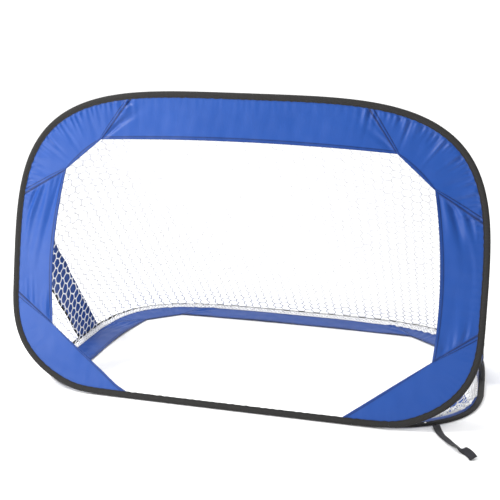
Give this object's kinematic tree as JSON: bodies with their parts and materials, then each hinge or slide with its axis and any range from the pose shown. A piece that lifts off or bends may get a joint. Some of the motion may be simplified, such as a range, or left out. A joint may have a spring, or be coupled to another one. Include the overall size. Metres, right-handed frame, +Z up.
{
  "type": "pop up goal",
  "caption": "Folding garden goal: a standing and a lying sprung loop with cloth borders, joined along the front edge, with a net and side straps behind.",
  "frame": {"origin": "under the middle of the lying loop's straight front run, on the ground", "axes": "+X to the right as a player facing the mouth sees it, +Y into the goal, away from the player, +Z up"},
  "size_m": [1.2078, 0.896, 0.7682],
  "materials": {
    "blue_cloth": "plain-woven polyester cloth with a slight sheen",
    "black_tape": "matt ribbed polyester tape and webbing",
    "white_net": "white knotless polyester net",
    "spring_steel": "drawn spring steel wire",
    "nickel": "plated rivet"
  },
  "bodies": {
    "ground_frame": {"ground_wire": "spring_steel", "ground_ferrule": "spring_steel", "ground_binding": "black_tape", "ground_run_binding": "black_tape", "ground_rear_panel": "blue_cloth", "ground_right_panel": "blue_cloth", "ground_left_panel": "blue_cloth", "ground_right_rear_corner": "blue_cloth", "ground_left_rear_corner": "blue_cloth", "ground_right_foot_corner": "blue_cloth", "ground_left_foot_corner": "blue_cloth", "ground_net_hem": "white_net", "right_net": "white_net", "rear_net": "white_net", "left_net": "white_net", "right_brace_strap": "blue_cloth", "left_brace_strap": "blue_cloth", "right_brace_binding": "black_tape", "left_brace_binding": "black_tape", "hinge_tape": "black_tape", "tether_rivet": "nickel"},
    "front_frame": {"front_wire": "spring_steel", "front_ferrule": "spring_steel", "front_binding": "black_tape", "front_run_binding": "black_tape", "front_top_panel": "blue_cloth", "front_right_panel": "blue_cloth", "front_left_panel": "blue_cloth", "front_right_top_corner": "blue_cloth", "front_left_top_corner": "blue_cloth", "front_right_foot_corner": "blue_cloth", "front_left_foot_corner": "blue_cloth", "front_net_hem": "white_net"},
    "tether": {"tether_strap": "black_tape"}
  },
  "joints": [
    {"name": "front_fold", "type": "hinge", "parent": "ground_frame", "child": "front_frame", "pos_m": [0, -0.0065, 0.0083], "axis": [-1, 0, 0], "range_deg": [0, 75], "stiffness_Nm_per_rad": 1.8, "springref_deg": -28.65, "deforming": ["right_net", "rear_net", "left_net", "right_brace_strap", "left_brace_strap", "right_brace_binding", "left_brace_binding"]},
    {"name": "tether_lift", "type": "hinge", "parent": "ground_frame", "child": "tether", "pos_m": [0.5022, 0.0366, 0.0046], "axis": [-0.9653, -0.2611, 0], "range_deg": [0, 45]}
  ]
}
